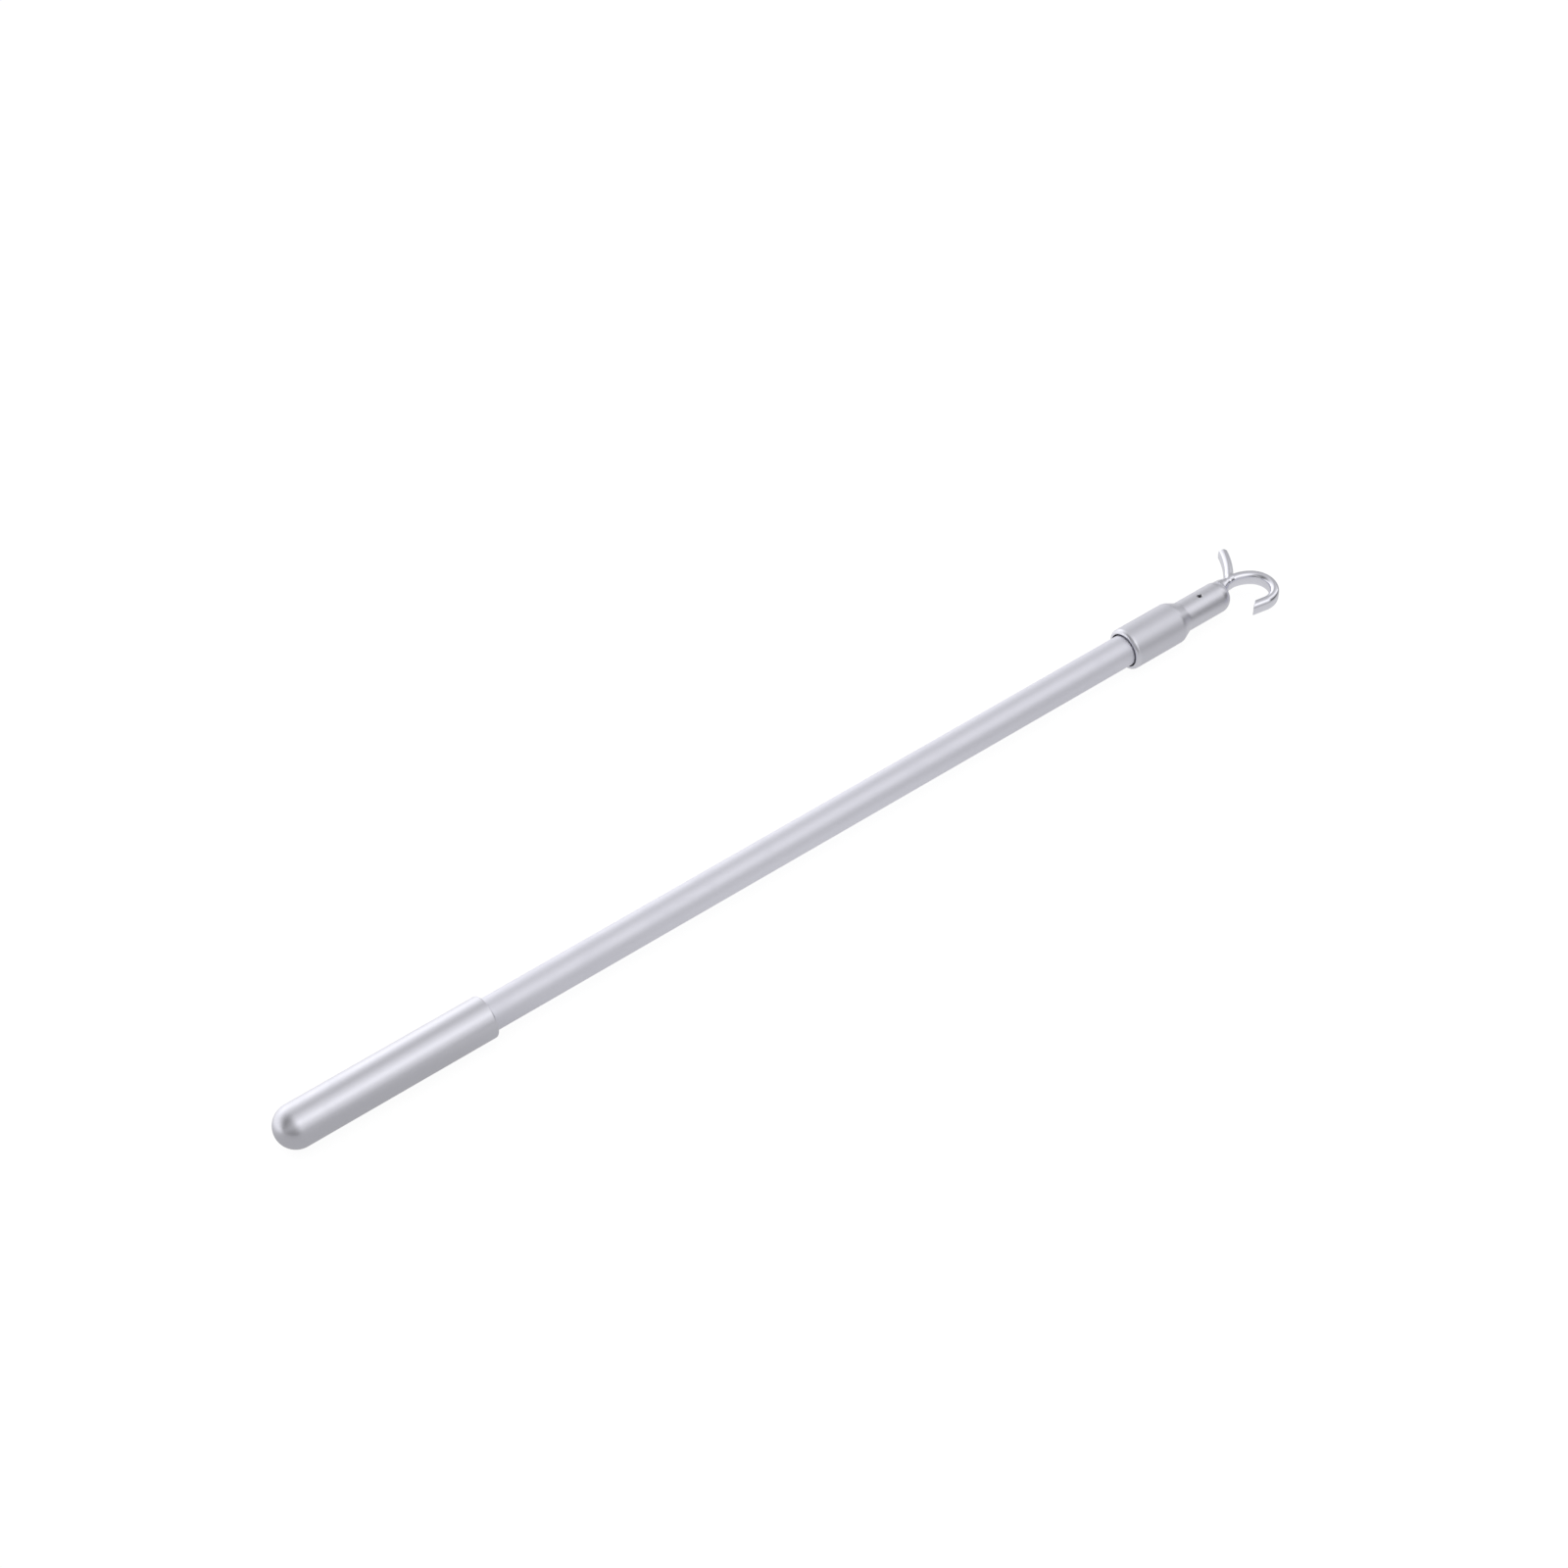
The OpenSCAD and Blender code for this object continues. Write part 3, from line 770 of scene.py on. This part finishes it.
BAR_WIDTH, BAR_HEIGHT, BAR_EDGE = 4.7, 7.4, 2.1  # in the XY plane, along Z, edge rounding
ROOT_RUN = 4.6  # straight run of the hook back into the dome
BEND_R, BEND_TURN = 18, rad(-45.5)
BIGHT_R, BIGHT_TURN = 8.35 + BAR_WIDTH / 2, rad(-152)
TIP_RUN = 6.6
OVERRUN = 7  # spare length that the slanted end planes cut
PRONG_RUN, PRONG_SKIP = 9.3, 4.2  # straight run, and how much of it is left out at the root
PRONG_R = 54
PRONG_TURN = 16.9 / PRONG_R
hook_start = (11.5, 3.93, rad(7.5))
hook_root = walk(hook_start, 0, -ROOT_RUN)
bight_start = walk(hook_start, BEND_R, BEND_TURN)
tip_start = walk(bight_start, BIGHT_R, BIGHT_TURN)
tip_end = walk(tip_start, 0, TIP_RUN)
prong_start = (10.6, 1.05, rad(46.7))
prong_root = walk(prong_start, 0, PRONG_SKIP)
prong_bend = walk(prong_start, 0, PRONG_RUN)
prong_end = walk(prong_bend, PRONG_R, PRONG_TURN)
DOME_END, DOME_R = 7.05, 7.2


def line_distance(Q, pose, length):
    direction = np.array([math.cos(pose[2]), math.sin(pose[2])])
    v = Q - np.array(pose[:2])
    t = np.clip(v @ direction, 0, length)
    return np.linalg.norm(v - t[:, None] * direction, axis=1)


def arc_distance(Q, pose, r, turn):
    s = 1 if turn > 0 else -1
    v = Q - np.array([pose[0] - s * r * math.sin(pose[2]), pose[1] + s * r * math.cos(pose[2])])
    start = pose[2] - s * math.pi / 2
    angle = s * (np.arctan2(v[:, 1], v[:, 0]) - start) + math.pi / 4
    angle = angle % (2 * math.pi) - math.pi / 4
    on_arc = (angle >= 0) & (angle <= abs(turn))
    ends = np.minimum(np.linalg.norm(Q - np.array(pose[:2]), axis=1),
                      np.linalg.norm(Q - np.array(walk(pose, r, turn)[:2]), axis=1))
    return np.where(on_arc, np.abs(np.linalg.norm(v, axis=1) - r), ends)


def round_corner(a, b, r):
    return np.hypot(np.maximum(a, 0), np.maximum(b, 0)) + np.minimum(np.maximum(a, b), 0) - r


def bar(P, lateral):
    """A rounded bar from distance to its centre line; its sides are slightly barrelled."""
    return round_corner(lateral + 0.014 * P[:, 2] ** 2 - 0.05 - (BAR_WIDTH / 2 - BAR_EDGE),
                        np.abs(P[:, 2]) - (BAR_HEIGHT / 2 - BAR_EDGE), BAR_EDGE)


def cut_end(d, P, pose, slant, r):
    """Ends a bar at a pose with a plane turned by slant, its edge rounded by r."""
    a = pose[2] + slant
    e = (P[:, :2] - np.array(pose[:2])) @ np.array([math.cos(a), math.sin(a)])
    return np.minimum(-r, np.maximum(d, e)) + np.hypot(np.maximum(d + r, 0), np.maximum(e + r, 0))


def smooth_min(a, b, k):
    """The lesser of two distances, blended over a width k."""
    h = np.maximum(k - np.abs(a - b), 0) / k
    return np.minimum(a, b) - h * h * h * k / 6


def round_cone(P, a, ra, b, rb):
    """Distance to the hull of a ball at a, radius ra, and a ball at b, radius rb."""
    a, b = np.array(a, float), np.array(b, float)
    ba = b - a
    l2 = ba @ ba
    rr = ra - rb
    a2 = l2 - rr * rr
    il2 = 1 / l2
    pa = P - a
    y = pa @ ba
    z = y - l2
    x2 = ((pa * l2 - y[:, None] * ba) ** 2).sum(1)
    y2, z2 = y * y * l2, z * z * l2
    k = math.copysign(1, rr) * rr * rr * x2
    return np.where(np.sign(z) * a2 * z2 > k, np.sqrt(x2 + z2) * il2 - rb,
                    np.where(np.sign(y) * a2 * y2 < k, np.sqrt(x2 + y2) * il2 - ra,
                             (np.sqrt(x2 * a2 * il2) + y * rr) * il2 - ra))


def nearest(*distances):
    return np.minimum(np.minimum(distances[0], distances[1]), distances[2])


def hook_field(P):
    Q = P[:, :2]
    curve = nearest(line_distance(Q, hook_root, ROOT_RUN),
                    arc_distance(Q, hook_start, BEND_R, BEND_TURN),
                    arc_distance(Q, bight_start, BIGHT_R, BIGHT_TURN))
    tail = bar(P, line_distance(Q, tip_start, TIP_RUN + OVERRUN))
    hook = np.minimum(bar(P, curve), cut_end(tail, P, tip_end, slant=rad(-42), r=0.35))
    curve = nearest(line_distance(Q, prong_root, PRONG_RUN - PRONG_SKIP),
                    arc_distance(Q, prong_bend, PRONG_R, PRONG_TURN),
                    line_distance(Q, prong_end, OVERRUN))
    prong = cut_end(bar(P, curve), P, prong_end, slant=rad(-12), r=0.32)
    bars = smooth_min(hook, prong, 1.2)
    # the dome on the neck, swelling into a leaning cone under the hook's root
    turned = round_corner(np.hypot(P[:, 1], P[:, 2]) - (neck_r - DOME_R),
                          P[:, 0] - (DOME_END - DOME_R), DOME_R)
    root = round_cone(P, (-6, 0, 0), neck_r, (7.4, 3.7, 0), 4.2)
    t = np.clip(P[:, 0] / 4, 0, 1)
    dome = smooth_min(turned, root, 0.05 + 1.55 * t * t * (3 - 2 * t))
    return smooth_min(dome, bars, 2.6)


def gradient(P, e=2e-4):
    g = np.empty_like(P)
    for k in range(3):
        d = np.zeros(3)
        d[k] = e
        g[:, k] = (hook_field(P + d) - hook_field(P - d)) / (2 * e)
    return g


def unit_normals(P):
    g = gradient(P)
    return g / np.linalg.norm(g, axis=1)[:, None]


def surface_net(low, high, step):
    """Quads on the hook's surface, one vertex in each grid cell that the surface crosses."""
    axes = [np.arange(low[k], high[k] + step, step) for k in range(3)]
    shape = tuple(len(a) for a in axes)
    V = np.empty(shape)
    yz = np.stack(np.meshgrid(axes[1], axes[2], indexing="ij"), -1).reshape(-1, 2)
    for i, x in enumerate(axes[0]):
        V[i] = hook_field(np.column_stack([np.full(len(yz), x), yz])).reshape(shape[1:])
    S = V < 0
    corners = [(i, j, k) for i in (0, 1) for j in (0, 1) for k in (0, 1)]
    count = sum(S[i:shape[0] - 1 + i, j:shape[1] - 1 + j, k:shape[2] - 1 + k].astype(np.int8)
                for i, j, k in corners)
    cells = np.argwhere((count > 0) & (count < 8))
    index = -np.ones(count.shape, np.int64)
    index[tuple(cells.T)] = np.arange(len(cells))
    # each vertex is the mean of the crossings on its cell's edges
    total, crossings = np.zeros((len(cells), 3)), np.zeros(len(cells))
    for a in corners:
        for k in range(3):
            if a[k]:
                continue
            b = list(a)
            b[k] = 1
            va = V[tuple((cells + a).T)]
            vb = V[tuple((cells + b).T)]
            cross = (va < 0) != (vb < 0)
            t = np.where(cross, va / np.where(cross, va - vb, 1), 0)
            total += cross[:, None] * (np.array(a, float)
                                       + t[:, None] * (np.array(b) - np.array(a)))
            crossings += cross
    verts = (cells + total / crossings[:, None]) * step + np.array([a[0] for a in axes])
    # each crossed grid edge gives a quad between its four cells
    quads = []
    for k in range(3):
        u, v = (k + 1) % 3, (k + 2) % 3
        here, ahead = [slice(None)] * 3, [slice(None)] * 3
        here[k], ahead[k] = slice(0, -1), slice(1, None)
        e = np.argwhere(S[tuple(here)] != S[tuple(ahead)])
        e = e[(e[:, u] > 0) & (e[:, v] > 0) & (e[:, u] < shape[u] - 1) & (e[:, v] < shape[v] - 1)]
        du, dv = np.eye(3, dtype=int)[u], np.eye(3, dtype=int)[v]
        q = np.stack([index[tuple((e - du * a - dv * b).T)]
                      for a, b in ((1, 1), (0, 1), (0, 0), (1, 0))], 1)
        outside = ~S[tuple(e.T)]
        q[outside] = q[outside][:, ::-1]
        quads.append(q)
    return verts, np.concatenate(quads)


def project(P, rounds):
    """Moves points onto the surface."""
    for _ in range(rounds):
        g = gradient(P)
        P = P - hook_field(P)[:, None] * g / np.maximum((g * g).sum(1), 0.2)[:, None]
    return P


def relax(P, quads):
    """Evens out the net by sliding its points along the surface."""
    sides = np.concatenate([quads[:, [k, (k + 1) % 4]] for k in range(4)])
    edges = np.unique(np.sort(sides, axis=1), axis=0)
    for _ in range(5):
        total, number = np.zeros_like(P), np.zeros(len(P))
        for a, b in ((0, 1), (1, 0)):
            np.add.at(total, edges[:, a], P[edges[:, b]])
            np.add.at(number, edges[:, a], 1)
        move = total / number[:, None] - P
        n = unit_normals(P)
        P = P + 0.5 * (move - (move * n).sum(1)[:, None] * n)
        P = project(P, 1)
    return P


def hook_mesh():
    """The net cut flat at the neck's rim, with a round shank joined on and drilled."""
    step = 0.21
    P, quads = surface_net((-1.3, -22.5, -8.6), (33.0, 25.5, 8.6), step)
    P = project(relax(project(P, 3), quads), 2)
    mesh = bpy.data.meshes.new("hook_net")
    mesh.from_pydata(((P + np.array([x_rim, 0, 0])) * MM).tolist(), [], quads.tolist())
    bm = bmesh.new()
    bm.from_mesh(mesh)
    bmesh.ops.recalc_face_normals(bm, faces=bm.faces)
    bmesh.ops.bisect_plane(bm, geom=bm.verts[:] + bm.edges[:] + bm.faces[:], dist=1e-7,
                           plane_co=((x_rim + FIT) * MM, 0, 0), plane_no=(-1, 0, 0),
                           clear_outer=True)
    bmesh.ops.edgeloop_fill(bm, edges=[e for e in bm.edges if e.is_boundary])
    bmesh.ops.recalc_face_normals(bm, faces=bm.faces)
    bm.to_mesh(mesh)
    bm.free()
    shank = lathe(rounded([(x_shank, 0, 0), (x_shank, 4.0, 0.45), (x_rim + 1.5, 4.0, 0),
                           (x_rim + 1.5, 0, 0)], 4), 96)
    mesh = boolean(mesh, shank, "UNION")
    mesh = boolean(mesh, rod_cutter(pin_r + FIT, 2 * neck_r + 4, x_pin, "Z", 56))
    mesh.set_sharp_from_angle(angle=rad(40))
    return mesh


def field_normals(mesh):
    """Exact normals where a vertex is on the field's surface, and zero (automatic) elsewhere."""
    co = np.empty(len(mesh.vertices) * 3)
    mesh.vertices.foreach_get("co", co)
    co = co.reshape(-1, 3) / MM - np.array([x_rim, 0, 0])
    on_field = (co[:, 0] - FIT >= -0.004) & (np.abs(hook_field(co)) < 0.01)
    normals = np.zeros_like(co)
    normals[on_field] = unit_normals(co[on_field])
    return normals.tolist()


forged = hook_mesh()
piece("hook_forged", forged, "head", HOOK, "hook", normals=field_normals(forged))

# ------------------------------------------------------------------ world
world = bpy.data.worlds.new("studio")
scene.world = world
sky = Nodes(world)
dx, dy, dz = sky.separate(sky.new("TexCoord").outputs["Generated"])
# angle about the pole's axis: 0 is the +Y horizon, 0.5 straight up, 1 the -Y horizon
turn = sky.times(sky.math("ARCTAN2", dz, dy), 1 / math.pi)
# the bright strip's place and strength change a little along X
shift = sky.curve(dx, [(0.29, 0.042), (0.36, 0.017), (0.46, 0.022), (0.52, 0.055),
                       (0.546, 0.127), (0.56, 0.165), (0.568, 0.195)])
strip_turn = sky.add(turn, sky.math("SUBTRACT", shift, 0.05))
strip = sky.curve(strip_turn, [
    (0.0, 0.54), (0.28, 0.50), (0.40, 0.52), (0.51, 0.74), (0.60, 0.92), (0.65, 1.22),
    (0.70, 1.22), (0.75, 0.92), (0.83, 0.77), (0.91, 0.57), (0.96, 0.42), (1.0, 0.38)])
front_dark = sky.curve(strip_turn, [(0.86, 0.0), (0.95, 0.21), (1.0, 0.21)])
back = sky.curve(turn, [(0.0, 0.80), (0.10, 0.82), (0.20, 0.50), (0.27, 0.24), (0.36, 0.0)])
strip_level = sky.times(
    sky.rise(dx, between=(-0.55, 0.0), to=(0.42, 1.06)),
    sky.curve(dx, [(0.40, 1.0), (0.46, 1.02), (0.53, 0.82), (0.546, 0.90), (0.565, 0.86)]))
back_level = sky.rise(dx, between=(0.40, 0.60), to=(1.0, 0.0))
dark_level = sky.rise(dx, between=(0.44, 0.60))
light = sky.add(sky.times(strip, strip_level), sky.times(back, back_level))
light = sky.math("SUBTRACT", light, sky.times(front_dark, dark_level))
# the camera sees plain white instead
lit_sky = sky.filled(sky.new("Background"), grey(1.0), light)
white = sky.filled(sky.new("Background"), grey(1.0), 1.0)
is_camera = sky.new("LightPath").outputs["Is Camera Ray"]
sky.put(sky.mix_shader(is_camera, lit_sky, white), sky.new("OutputWorld").inputs[0])

# ------------------------------------------------------------------ light
sun = bpy.data.lights.new("overhead_soft", "SUN")
sun.energy, sun.angle = 1.9, rad(70)
sun_object = bpy.data.objects.new("overhead_soft", sun)
sun_object.rotation_euler = (rad(-8), rad(-10), 0)
sun_object.visible_glossy = False
scene.collection.objects.link(sun_object)


# ------------------------------------------------------------------ floor
def floor_paper():
    """A pale sheet, with its own brightness for every ray but the camera's: a glow whose darker
    levels paint the table's shade round the pole.
    """
    g = Surface("floor_paper")
    colour = g.mix(g.noise(700, rough=0.6), rgb((0.90, 0.90, 0.905)), rgb((0.915, 0.915, 0.92)))
    diffuse = g.filled(g.new("BsdfDiffuse"), colour)
    glow = g.filled(g.new("Emission"), grey(1.0), 1.02)
    seen = g.mix_shader(0.08, glow, diffuse)

    # the levels that reflections see, on the -Y side (front) and the +Y side (rear). They are
    # painted shade of the table: darker in front of the pole than behind it, and darkest beside
    # the grip.
    x, y, _ = g.separate(g.coords)
    along = g.rise(x, between=(0.02, 0.11))
    ahead = g.rise(x, between=(0.40, 0.48))
    behind = g.rise(y, between=(0.004, 0.06))
    central = g.times(g.rise(x, between=(0.10, 0.22)), g.rise(x, between=(0.40, 0.28)))
    front = g.mix(ahead, g.mix(along, grey(0.47), grey(0.59)), grey(0.64))
    front = g.mix(central, front, grey(0.65))
    rear = g.mix(ahead, grey(1.05), grey(0.78))
    # painted shade: round the hook the sheet's glow is dimmer for rays that reach it at a shallow
    # angle, so the hook's upright walls shade from top to bottom
    incoming = g.separate(g.new("NewGeometry").outputs["Incoming"])
    painted_wall_shade = g.rise(incoming[2], between=(0.12, 0.85), to=(0.74, 1.08))
    near_hook = g.rise(x, between=(0.504, 0.514))
    painted_wall_shade = g.add(g.times(near_hook, g.add(painted_wall_shade, -1.0)), 1.0)
    painted_wall_shade_grey = g.filled(g.new("CombineColor"), painted_wall_shade, painted_wall_shade, painted_wall_shade)
    front = g.mix(1.0, front, painted_wall_shade_grey, "MULTIPLY")
    painted_shade_glow = g.new("Emission")
    g.put(g.mix(behind, front, rear), painted_shade_glow.inputs["Color"])
    is_camera = g.new("LightPath").outputs["Is Camera Ray"]
    return g.output(g.mix_shader(is_camera, painted_shade_glow.outputs[0], seen))


HALF = 4.0  # metres
floor_z = cad_bounds[0].z - 0.00002
floor_mesh = bpy.data.meshes.new("floor")
floor_mesh.from_pydata([(-HALF, -HALF, floor_z), (HALF, -HALF, floor_z), (HALF, HALF, floor_z),
                        (-HALF, HALF, floor_z)], [], [(0, 1, 2, 3)])
floor = bpy.data.objects.new("floor", floor_mesh)
scene.collection.objects.link(floor)
floor_mesh.materials.append(floor_paper())

# ------------------------------------------------------------------ camera
camera = bpy.data.cameras.new("camera")
camera.lens, camera.sensor_width = 81.0, 36.0
camera.clip_start, camera.clip_end = 0.05, 20
camera_object = bpy.data.objects.new("camera", camera)
camera_object.matrix_world = Matrix((
    (0.77731, -0.62912, 0.0, 0),  # right
    (0.43831, 0.54156, 0.71735, 0),  # up
    (-0.45130, -0.55761, 0.69671, 0),  # backwards
    (-0.5063, -0.8974, 1.1610, 1),  # place
)).transposed()
scene.collection.objects.link(camera_object)
scene.camera = camera_object

scene.view_settings.view_transform = "Standard"
scene.view_settings.look = "None"
scene.view_settings.exposure = 0.0
scene.view_settings.gamma = 1.0
